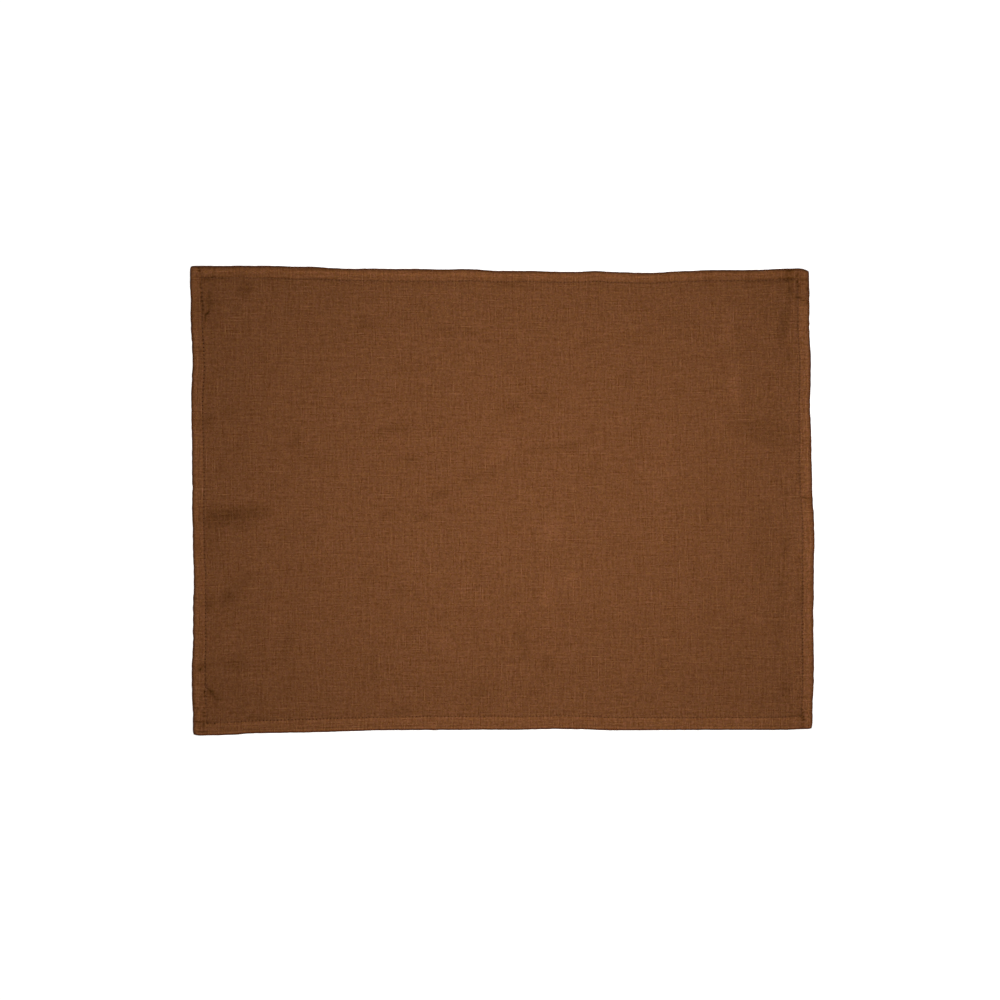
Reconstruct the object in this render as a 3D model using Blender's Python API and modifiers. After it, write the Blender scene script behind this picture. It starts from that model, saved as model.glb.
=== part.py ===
"""Fabric placemat: one panel of plain-woven linen with a double-turned hem on all four sides.

The panel lies right side up on a flat surface, at its real size, in metres with +Z up. The long side
runs along X. The origin is the middle of the box around the panel, at the height of the surface.

Its two faces are one grid, whose lines follow the hem, extruded into an upper and a lower face. The
cloth between them is one layer in the field, three in the hem and more where two hems cross.
"""

import math
from collections import namedtuple

import bmesh
import bpy
from mathutils import Vector

MM = 0.001

# --- driving sizes -----------------------------------------------------------------------------

WIDTH = 480 * MM                # nominal finished size, from fold to fold
DEPTH = 360 * MM
FIELD_THICKNESS = 1.0 * MM      # one layer, with the slack of loose cloth
HEM_RISE = 1.0 * MM             # the two turned layers below it
CORNER_RISE = 0.6 * MM          # further height where two hems cross
RIM_ROUNDING = 0.7 * MM         # the fold at the outline, all round
RIM_ANGLE = math.radians(78)    # edges sharper than this are rounded: the outline's alone
FIELD_SPACING = 16 * MM         # distance between grid lines in the field

LINEN_COLOUR = (0.159, 0.060, 0.021, 1.0)
LINEN_ROUGHNESS = 0.9

# --- the outline, which wanders about the nominal rectangle ------------------------------------
# along: place on the side, from the middle of the panel (mm); out: how far the edge lies outside
# the nominal rectangle there (mm).

EdgePoint = namedtuple("EdgePoint", "along out")

LEFT_EDGE = [EdgePoint(*row) for row in (
    (-180, -0.3), (-165, -0.3), (-142, 0.5), (-128, 0.4), (-118, -0.3), (-100, -0.7), (-60, -1.0),
    (-17, -0.1), (12, 0.0), (44, -0.1), (86, 0.7), (104, 0.0), (131, 0.5), (150, 1.4), (170, 1.6),
)]
RIGHT_EDGE = [EdgePoint(*row) for row in (
    (-180, 0.1), (-168, 0.2), (-158, 0.7), (-123, 1.4), (-92, 1.0), (-62, 1.5), (-37, 1.7),
    (-19, 1.6), (-8, 1.2), (9, 0.3), (56, -0.7), (74, -1.5), (107, -0.9), (128, -1.8), (165, -2.2),
)]
TOP_EDGE = [EdgePoint(*row) for row in (
    (-240, 1.9), (-174, 1.8), (-146, 1.0), (-127, -0.1), (-105, -0.5), (-45, -0.7), (-25, -0.8),
    (-7, -2.0), (12, -2.0), (49, -2.8), (73, -2.4), (105, -3.6), (126, -3.5), (142, -2.2),
    (190, -1.2), (226, -0.3), (240, -0.3),
)]
BOTTOM_EDGE = [EdgePoint(*row) for row in (
    (-240, 1.9), (-208, 1.4), (-199, 0.6), (-180, 0.1), (-153, -0.5), (-91, -2.2), (-22, -2.5),
    (42, -3.1), (68, -2.9), (90, -2.2), (220, -2.3), (229, -3.0), (240, -3.2),
)]

# --- the corners -------------------------------------------------------------------------------
# side_x, side_y: which corner; pull_x, pull_y: how far its point is drawn in (mm); reach: how far
# from the corner the outline gives way (mm).

Corner = namedtuple("Corner", "side_x side_y pull_x pull_y reach")

CORNERS = [Corner(*row) for row in (
    (-1, 1, 0.6, 0.6, 4.0),
    (1, 1, 0.8, 2.3, 8.0),
    (-1, -1, 1.0, 0.9, 6.0),
    (1, -1, 0.6, 0.6, 4.0),
)]

# --- the hem -----------------------------------------------------------------------------------
# Distance of the stitching from the outline at the two ends of each side (mm), the low end of the
# side's axis first.

StitchLine = namedtuple("StitchLine", "low_end high_end")

LEFT_STITCHES = StitchLine(10.2, 8.9)
RIGHT_STITCHES = StitchLine(8.8, 9.1)
TOP_STITCHES = StitchLine(9.5, 8.3)
BOTTOM_STITCHES = StitchLine(10.0, 9.8)

# Lines of the grid, from the outline inwards. share: part of the way from the outline to the
# stitching; beyond: distance added to that (mm); rise: height of the upper face above the field's,
# as a share of HEM_RISE.

HemRow = namedtuple("HemRow", "share beyond rise")

BAND_ROWS = [HemRow(*row) for row in (      # on the three layers
    (0.0, 0.0, 0.95),                       # outline
    (0.0, 1.4, 1.0),
    (0.5, 0.3, 1.05),
    (1.0, -1.1, 1.0),
    (1.0, 0.0, 0.65),                       # stitching
    (1.0, 1.0, 0.95),
    (1.0, 1.8, 0.9),                        # inner fold
)]
SLOPE_ROWS = [HemRow(*row) for row in (     # one layer, coming down to the surface
    (1.0, 2.2, 0.85),
    (1.0, 6.0, 0.3),
    (1.0, 12.0, 0.0),
)]
HEM_ROWS = BAND_ROWS + SLOPE_ROWS

# --- soft waves that the cloth keeps -----------------------------------------------------------
# x, y: middle (mm); turn: direction of the crest, from +X (degrees); half_length, half_width and
# height (mm).

Wave = namedtuple("Wave", "x y turn half_length half_width height")

WAVES = [Wave(*row) for row in (
    (-198, -13, 2, 46, 17, 1.0),            # from the left hem inwards
    (-205, -75, -8, 36, 16, 0.7),
    (-206, -138, -32, 38, 17, 0.8),         # lower left corner
    (-203, 150, 38, 44, 20, 0.8),           # upper left corner
    (-13, 24, 23, 122, 24, 0.7),            # long diagonal across the middle
    (-35, -109, -19, 52, 20, 0.6),
    (30, -114, -41, 44, 18, 0.6),
    (177, 105, 86, 60, 20, 0.6),            # upright, beside the right hem
    (212, 140, 92, 42, 14, 0.7),
    (203, 52, 20, 40, 20, 0.7),
    (222, 1, -17, 26, 9, 0.7),              # across the right hem
    (190, -90, -27, 40, 18, 0.6),
    (60, 141, 4, 64, 17, 0.5),
    (-80, 130, 12, 58, 20, 0.4),
    (110, -140, 8, 60, 16, 0.5),
)]


def curve_through(rows, along):
    """Smooth curve through a table of edge points, level past its two ends, in millimetres."""
    if along <= rows[0].along:
        return rows[0].out
    if along >= rows[-1].along:
        return rows[-1].out
    after = next(number for number, row in enumerate(rows) if along <= row.along)
    before = after - 1

    def slope(number):
        low = rows[max(number - 1, 0)]
        high = rows[min(number + 1, len(rows) - 1)]
        return (high.out - low.out) / (high.along - low.along)

    span = rows[after].along - rows[before].along
    t = (along - rows[before].along) / span
    return (
        rows[before].out * (2 * t**3 - 3 * t**2 + 1)
        + rows[after].out * (3 * t**2 - 2 * t**3)
        + slope(before) * span * (t**3 - 2 * t**2 + t)
        + slope(after) * span * (t**3 - t**2)
    )


class Axis:
    """The grid lines across one direction of the panel, with a hem at each end."""

    def __init__(self, length, other_length, low_stitches, high_stitches):
        self.length = length
        self.other_length = other_length
        self.low_stitches = low_stitches
        self.high_stitches = high_stitches
        low_margin = self.inward(HEM_ROWS[-1], low_stitches, 0.0)
        inner = length - low_margin - self.inward(HEM_ROWS[-1], high_stitches, 0.0)
        steps = round(inner / FIELD_SPACING)
        self.middle = [
            low_margin - length / 2 + inner * step / steps for step in range(1, steps)
        ]
        self.count = 2 * len(HEM_ROWS) + len(self.middle)

    def inward(self, row, stitches, along):
        """Distance of a hem row from the outline, at a place along that side."""
        part = min(max(along / self.other_length + 0.5, 0.0), 1.0)
        stitch = stitches.low_end + (stitches.high_end - stitches.low_end) * part
        return (row.share * stitch + row.beyond) * MM

    def row(self, number):
        """The hem row that a grid line lies on, or None in the field."""
        from_outline = min(number, self.count - 1 - number)
        return HEM_ROWS[from_outline] if from_outline < len(HEM_ROWS) else None

    def place(self, number, along):
        """Where a grid line lies in the nominal rectangle, from the panel's middle."""
        row = self.row(number)
        if row is None:
            return self.middle[number - len(HEM_ROWS)]
        if number < len(HEM_ROWS):
            return self.inward(row, self.low_stitches, along) - self.length / 2
        return self.length / 2 - self.inward(row, self.high_stitches, along)


def faces_at(column_row, line_row):
    """Heights of the upper and the lower face where two grid lines cross, before the waves."""
    rises = [row.rise if row else 0.0 for row in (column_row, line_row)]
    shared = rises[0] * rises[1] * (HEM_RISE - CORNER_RISE)
    rise = sum(rises) * HEM_RISE - shared
    on_band = column_row in BAND_ROWS or line_row in BAND_ROWS
    return FIELD_THICKNESS + rise, 0.0 if on_band else rise


def wave_height(x, y):
    """Height that the soft waves add at a place on the panel."""
    total = 0.0
    for wave in WAVES:
        turn = math.radians(wave.turn)
        to_x = x - wave.x * MM
        to_y = y - wave.y * MM
        along = (to_x * math.cos(turn) + to_y * math.sin(turn)) / (wave.half_length * MM)
        across = (to_y * math.cos(turn) - to_x * math.sin(turn)) / (wave.half_width * MM)
        reach = along**2 + across**2
        if reach < 1.0:
            total += wave.height * MM * (1.0 - reach) ** 2
    return total


def corner_shift(a, b):
    """How far a place of the nominal rectangle is drawn in by the corners, in x and in y."""
    shift_x = shift_y = 0.0
    for corner in CORNERS:
        from_corner = math.hypot(a - corner.side_x * WIDTH / 2, b - corner.side_y * DEPTH / 2)
        nearness = max(1.0 - from_corner / (corner.reach * MM), 0.0)
        shift_x -= corner.side_x * corner.pull_x * MM * nearness**2
        shift_y -= corner.side_y * corner.pull_y * MM * nearness**2
    return shift_x, shift_y


def on_panel(a, b):
    """Move a place of the nominal rectangle to the panel, whose four edges wander."""
    across = a / WIDTH + 0.5
    up = b / DEPTH + 0.5
    left = curve_through(LEFT_EDGE, b / MM) * MM
    right = curve_through(RIGHT_EDGE, b / MM) * MM
    bottom = curve_through(BOTTOM_EDGE, a / MM) * MM
    top = curve_through(TOP_EDGE, a / MM) * MM
    shift_x, shift_y = corner_shift(a, b)
    x = a - left * (1.0 - across) + right * across + shift_x
    y = b - bottom * (1.0 - up) + top * up + shift_y
    return x, y


def linen():
    """Brown linen, seen from a step away."""
    material = bpy.data.materials.new("linen")
    material.use_nodes = True
    shader = material.node_tree.nodes["Principled BSDF"]
    shader.inputs["Base Color"].default_value = LINEN_COLOUR
    shader.inputs["Roughness"].default_value = LINEN_ROUGHNESS
    shader.inputs["Metallic"].default_value = 0.0
    return material


def hemmed_sheet(columns, lines):
    """The panel's mesh: a grid extruded into two faces, with each of its points put in its place."""
    sheet = bmesh.new()
    bmesh.ops.create_grid(
        sheet, x_segments=columns.count - 1, y_segments=lines.count - 1, size=0.5
    )
    extruded = bmesh.ops.extrude_face_region(sheet, geom=sheet.faces[:])["geom"]
    upper_points = {item for item in extruded if isinstance(item, bmesh.types.BMVert)}
    for point in sheet.verts:
        column = round((point.co.x + 0.5) * (columns.count - 1))
        line = round((point.co.y + 0.5) * (lines.count - 1))
        a = columns.place(column, lines.place(line, 0.0))
        b = lines.place(line, a)
        x, y = on_panel(a, b)
        upper, lower = faces_at(columns.row(column), lines.row(line))
        height = upper if point in upper_points else lower
        point.co = Vector((x, y, height + wave_height(x, y)))
    mesh = bpy.data.meshes.new("placemat")
    sheet.to_mesh(mesh)
    sheet.free()
    return mesh


def centre_over_origin(mesh):
    """Put the middle of the box around the panel over the origin."""
    xs = [point.co.x for point in mesh.vertices]
    ys = [point.co.y for point in mesh.vertices]
    middle = Vector(((min(xs) + max(xs)) / 2, (min(ys) + max(ys)) / 2, 0.0))
    for point in mesh.vertices:
        point.co -= middle


def placemat(collection):
    """The hemmed panel, with the folds at its outline rounded."""
    columns = Axis(WIDTH, DEPTH, LEFT_STITCHES, RIGHT_STITCHES)
    lines = Axis(DEPTH, WIDTH, BOTTOM_STITCHES, TOP_STITCHES)
    mesh = hemmed_sheet(columns, lines)
    centre_over_origin(mesh)
    mesh.shade_smooth()
    mesh.materials.append(linen())
    panel = bpy.data.objects.new("placemat", mesh)
    collection.objects.link(panel)

    folds = panel.modifiers.new("folds at the outline", "BEVEL")
    folds.width = RIM_ROUNDING
    folds.segments = 2
    folds.limit_method = "ANGLE"
    folds.angle_limit = RIM_ANGLE


def build():
    """Remove what is in the scene and model the placemat."""
    for old in list(bpy.data.objects):
        bpy.data.objects.remove(old, do_unlink=True)
    collection = bpy.data.collections.new("fabric placemat")
    bpy.context.scene.collection.children.link(collection)
    placemat(collection)


build()
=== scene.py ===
"""Looks of the fabric placemat: one panel of plain-woven linen with a double-turned, machine-sewn hem.

Three operators make it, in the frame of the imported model: the panel, the sewing thread, and the
studio. Sizes in the tables are in millimetres, and every mesh is in metres.
"""

import math
from collections import namedtuple
from functools import partial

import bpy
import numpy as np
from bpy.props import FloatProperty, FloatVectorProperty, IntProperty, PointerProperty
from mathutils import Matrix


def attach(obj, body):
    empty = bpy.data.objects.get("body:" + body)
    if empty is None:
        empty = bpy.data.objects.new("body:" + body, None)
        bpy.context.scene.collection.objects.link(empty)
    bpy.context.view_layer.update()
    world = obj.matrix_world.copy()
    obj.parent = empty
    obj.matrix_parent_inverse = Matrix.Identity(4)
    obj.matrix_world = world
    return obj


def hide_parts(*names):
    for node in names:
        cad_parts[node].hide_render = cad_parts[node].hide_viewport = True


bl_info = {
    "name": "Fabric placemat",
    "version": (1, 0, 0),
    "blender": (4, 5, 0),
    "location": "View3D > Sidebar > Placemat",
    "description": "A hemmed linen placemat, its sewing thread and a plain studio",
    "category": "Object",
}

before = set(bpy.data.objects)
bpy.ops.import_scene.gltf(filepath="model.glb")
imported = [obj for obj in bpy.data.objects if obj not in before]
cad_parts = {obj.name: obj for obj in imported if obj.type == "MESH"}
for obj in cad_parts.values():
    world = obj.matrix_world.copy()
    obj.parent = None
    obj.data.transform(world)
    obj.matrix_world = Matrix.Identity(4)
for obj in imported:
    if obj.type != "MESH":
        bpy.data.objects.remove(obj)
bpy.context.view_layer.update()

MM = 0.001

# --- the outline, as in the part ---------------------------------------------------------------
# along: place on the side, from the panel's middle; out: how far the edge lies outside the nominal
# rectangle there.

LEFT_EDGE = (
    (-180, -0.3), (-170, -0.7), (-162, -0.7), (-154, 0.1), (-143, 0.0), (-138, 0.3), (-130, 0.3),
    (-123, 0.1), (-111, -0.7), (-96, -0.6), (-84, -0.8), (-79, -0.7), (-55, -1.4), (-45, -0.7),
    (-28, -0.6), (-10, 0.0), (-1, 0.2), (7, -0.2), (27, 0.1), (47, 0.1), (56, 0.4), (70, 0.5),
    (78, 0.8), (94, 0.2), (102, -0.4), (118, 0.0), (140, 1.2), (157, 1.1), (164, 1.7), (170, 1.6),
)
RIGHT_EDGE = (
    (-180, 0.1), (-170, 0.5), (-166, 0.4), (-144, 1.4), (-139, 1.3), (-134, 1.5), (-116, 1.4),
    (-104, 1.0), (-97, 1.2), (-89, 1.0), (-79, 1.4), (-52, 1.5), (-24, 1.9), (4, 0.2), (12, 0.3),
    (30, -0.4), (45, -0.5), (75, -1.6), (87, -1.0), (101, -0.9), (108, -0.7), (130, -2.0),
    (154, -1.9), (170, -2.3),
)
TOP_EDGE = (
    (-240, 1.9), (-231, 1.8), (-172, 1.8), (-161, 1.1), (-155, 1.2), (-141, 1.0), (-134, 0.4),
    (-119, -0.4), (-97, -0.3), (-80, -0.6), (-63, -0.5), (-44, -1.0), (-24, -0.7), (-3, -2.0),
    (26, -2.1), (42, -2.7), (62, -2.8), (75, -2.2), (87, -2.9), (99, -3.2), (107, -3.6),
    (123, -3.4), (136, -2.5), (152, -2.0), (159, -1.5), (193, -1.4), (206, -1.1), (217, -0.5),
    (230, -0.2), (240, -0.3),
)
BOTTOM_EDGE = (
    (-240, 1.9), (-231, 1.9), (-207, 1.3), (-195, 0.3), (-149, -0.5), (-93, -2.1), (-47, -2.3),
    (-9, -2.6), (9, -2.5), (44, -3.2), (57, -2.9), (64, -2.9), (78, -2.2), (94, -2.1), (165, -2.4),
    (215, -2.4), (230, -2.9), (240, -3.2),
)

Corner = namedtuple("Corner", "side_x side_y pull_x pull_y reach")

CORNERS = [Corner(*row) for row in (
    (-1, 1, 0.8, 0.8, 4.0),
    (1, 1, 0.3, 2.3, 8.0),
    (-1, -1, 1.0, 0.9, 6.0),
    (1, -1, 0.6, 0.6, 4.0),
)]

# --- the seams ---------------------------------------------------------------------------------
# Distance of the stitching from the outline, by place along the side.

LEFT_SEAM = (
    (-160, 10.4), (-145, 10.4), (-117, 9.9), (-90, 9.8), (-63, 9.1), (-36, 8.7), (-9, 8.9),
    (18, 9.3), (45, 8.9), (72, 8.7), (99, 9.3), (126, 8.9),
)
RIGHT_SEAM = (
    (-145, 8.5), (-117, 8.7), (-90, 8.5), (-63, 8.7), (-36, 9.1), (-9, 8.9), (18, 9.3), (45, 8.9),
    (72, 8.3), (99, 8.5), (126, 8.7), (154, 8.9),
)
TOP_SEAM = (
    (-205, 9.3), (-168, 9.7), (-132, 9.1), (-95, 9.5), (-59, 9.7), (-23, 9.1), (14, 8.4),
    (50, 8.3), (87, 8.1), (123, 8.1), (160, 8.3), (196, 8.3),
)
BOTTOM_SEAM = (
    (-205, 9.7), (-168, 10.1), (-132, 10.4), (-95, 10.3), (-59, 10.6), (-23, 10.4), (14, 10.3),
    (50, 10.3), (87, 10.1), (123, 9.8), (160, 9.7), (196, 9.8), (225, 10.1),
)

# One side of the panel. turn: the way that its columns run, +1 along its axis; inward: sign of
# the way into the panel; pitch: length of a stitch; low_end and high_end: how far short of the low
# and the high corner its seam ends, None where it ends on the crossing seam; bumps: unevenness of
# the fold at the outline; holes: how dark the painted shade in the needle holes is, by place along
# the side; shade: painted shade and light, the change in lightness from the outline, 0, to the
# seam, 1, and on into the field, darker on some sides and lighter on others as the light falls.

Side = namedtuple("Side", "name level seam turn inward pitch low_end high_end bumps holes shade")

# Painted shade in the needle holes, by place along each side.
BOTTOM_HOLES = (
    (-222, 0.15), (-214, 0.35), (-190, 0.62), (-120, 0.62), (-70, 0.44), (150, 0.40), (222, 0.28),
)
RIGHT_HOLES = (
    (-152, 0.10), (-143, 0.60), (-80, 0.60), (-40, 0.32), (60, 0.40), (145, 0.32), (155, 0.08),
)
TOP_HOLES = ((-215, 0.26), (50, 0.26), (75, 0.40), (100, 0.24), (215, 0.26))
LEFT_HOLES = (
    (-145, 0.10), (-136, 0.60), (-100, 0.60), (-60, 0.38), (0, 0.45), (60, 0.58), (90, 0.74),
    (130, 0.80), (139, 0.15),
)
# Painted shade and light across each side's hem, which differ by side as the light falls.
BOTTOM_SHADE = (
    (0, -0.10), (0.12, -0.09), (0.2, 0), (0.8, 0), (0.87, 0.05), (1, 0.10), (1.1, 0.03), (1.2, 0),
)
RIGHT_SHADE = (
    (0, 0.12), (0.2, 0.055), (0.3, 0), (0.42, 0.045), (0.7, 0), (0.82, 0.09), (0.92, 0.15),
    (1, 0.14), (1.08, 0.08), (1.16, 0.075), (1.25, 0.045), (1.4, 0.02), (2.2, 0.02), (2.6, 0),
)
TOP_SHADE = (
    (0, -0.16), (0.13, -0.16), (0.24, -0.11), (0.31, -0.11), (0.4, -0.04), (0.7, -0.03),
    (0.82, -0.04), (0.92, -0.07), (1, -0.05), (1.08, -0.055), (1.5, -0.045), (1.9, 0),
)
LEFT_SHADE = (
    (0, -0.16), (0.125, -0.13), (0.19, 0.01), (0.29, -0.07), (0.7, -0.07), (0.8, 0), (1, 0.12),
    (1.15, 0.02), (1.3, -0.02), (1.75, -0.04), (2.1, 0),
)

SIDES = [Side(*row) for row in (
    ("bottom", "y", BOTTOM_SEAM, 1, 1, 2.75, 2.5, None, 0.06, BOTTOM_HOLES, BOTTOM_SHADE),
    ("right", "x", RIGHT_SEAM, 1, -1, 2.77, None, 10.4, 0.11, RIGHT_HOLES, RIGHT_SHADE),
    ("top", "y", TOP_SEAM, -1, -1, 2.74, None, 1.3, 0.06, TOP_HOLES, TOP_SHADE),
    ("left", "x", LEFT_SEAM, -1, 1, 3.00, None, 1.5, 0.12, LEFT_HOLES, LEFT_SHADE),
)]
BOTTOM, RIGHT, TOP, LEFT = SIDES

# The machine was turned back at two corners: side, from and to, distance from the seam.

BACK_STITCHES = [(RIGHT, (-171.5, -158.0), -1.6), (LEFT, (168.0, 178.0), 0.9)]

# --- the mesh lines of the hem, from the field outwards, round the fold and back in ------------
# share: part of the way from the outline to the seam; beyond: distance added to that; layer: which
# of the hem's layers; bend: angle on a fold (degrees), from the layer below it.

Line = namedtuple("Line", "share beyond layer bend")

RIM_INSET = 0.275               # the folded cloth's middle, behind the outline
RIM_RADIUS = 0.64
FOLD_RADIUS = 0.32
FOLD_BEYOND = 1.2               # where the inner fold starts, past the seam
RAW_EDGE = 1.5                  # where the tucked layer ends, from the outline

LINES = [Line(*row) for row in (
    (1, 4.4, "upper", 0), (1, 2.9, "upper", 0), (1, 1.8, "upper", 0), (1, 1.0, "upper", 0),
    (1, 0.45, "upper", 0), (1, 0.0, "upper", 0), (1, -0.45, "upper", 0), (1, -1.0, "upper", 0),
    (1, -2.2, "upper", 0), (0.5, 0.3, "upper", 0), (0, 2.2, "upper", 0),
    (0, RIM_INSET + RIM_RADIUS, "upper", 0),
    (0, 0, "rim", 135), (0, 0, "rim", 90), (0, 0, "rim", 45), (0, 0, "rim", 0),
    (0.5, 0.3, "lower", 0), (1, -0.7, "lower", 0), (1, 0.0, "lower", 0), (1, 0.7, "lower", 0),
    (1, FOLD_BEYOND, "lower", 0),
    (1, FOLD_BEYOND, "fold", 90), (1, FOLD_BEYOND, "fold", 180),
    (0, RAW_EDGE, "tucked", 0),
)]
FIELD_BEYOND = 6.4              # outline of the field's grid, past the seam

LONG_CELLS = 168                # cells of the field along a long and a short side; the hem has two
SHORT_CELLS = 123               # columns for each
OUTLINE_POINTS = 2001           # along each side, to find the real panel's middle
SEAM_POINTS = 4001              # along each seam, to find the stitches
POINT_VALUES = ("tone", "hem", "lower_side", "holes")
FAR_INSIDE = 9.0                # place by the hem's measure, far inside the field
FAR_FROM_SEAM = 99.0

# --- how the panel lies ------------------------------------------------------------------------

LAYER_RISE = 1.28               # from the lower to the upper layer
CORNER_RISE = 0.35              # where two hems cross
MITRE_RISE = 0.12               # at the joint of the lower layer, at a corner
LOWER_MIDDLE = 0.28             # middle of the layer that lies on the surface
SETTLES_FROM = 1.8              # past the seam, where the field starts to come down
SETTLING = 9.0                  # and over how far it does
SLACK = 0.42                    # mean gap under the loose field
TOUCHING = 0.02                 # how softly the loose field meets the surface
HEM_FOLLOWS = 0.5               # share of a ridge that the stiffer hem takes
HEM_DENTS = 0.35                # share of a trough
MEAN_HEM = 9.3                  # mean distance of the seams from the outline

SEAM_DEPTH = 0.30               # how far the stitching draws the upper layer in
SEAM_WIDTH = 0.60
SEAM_FADE = 3                   # how far its pull fades at a seam's ends
SEAM_UNDER = 0.24
WIDE_PULL = 0.25                # share of the pull that reaches further
WIDE_PULL_REACH = 2.2
PUCKER = 0.07                   # rise of the cloth between two needle holes
PUCKER_REACH = 1.6
BUMP_FADE = 6                   # columns at a corner without the full bumps of the fold
BUMP_REACH = 2.6                # how far in from the outline they go

# Random unevenness: the size of its humps, and their height.

Rough = namedtuple("Rough", "size height")

FINE_WAVES = [Rough(31, 0.16), Rough(17, 0.12), Rough(8, 0.05)]
HEM_WAVE = Rough(21, 0.10)
LAYER_WAVE = Rough(13, 0.10)
FEED_DRIFT = Rough(38, 0.35)    # of the machine's feed, in stitches
SIDE_APART = 200.0              # between the sides' places in that drift, so that they differ
CHANCES = 256                   # random values each way, and the place among them of the middle
CHANCE_MIDDLE = (128.37, 128.61)

# Soft waves: middle, direction of the crest from +X (degrees), half length, half width, height.

Wave = namedtuple("Wave", "x y turn half_length half_width height")

WAVES = [Wave(*row) for row in (
    (-198, -13, 2, 46, 17, 1.0),
    (-205, -75, -8, 36, 16, 0.7),
    (-206, -138, -32, 38, 17, 0.8),
    (-203, 150, 38, 44, 20, 0.8),
    (-13, 24, 23, 122, 24, 0.7),
    (-35, -109, -19, 52, 20, 0.6),
    (30, -114, -41, 44, 18, 0.6),
    (177, 105, 86, 60, 20, 0.6),
    (212, 140, 92, 42, 14, 0.7),
    (203, 52, 20, 40, 20, 0.7),
    (222, 1, -17, 26, 9, 0.7),
    (190, -90, -27, 40, 18, 0.6),
    (60, 141, 4, 64, 17, 0.5),
    (-80, 130, 12, 58, 20, 0.4),
    (110, -140, 8, 60, 16, 0.5),
)]

# Creases: the same, then tone, the change in the cloth's lightness along it, which is painted
# shade and light. Troughs have a negative height and are painted darker; ridges are painted
# lighter, and two rows, with no height, only paint light.

Crease = namedtuple("Crease", "x y turn half_length half_width height tone")

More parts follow.
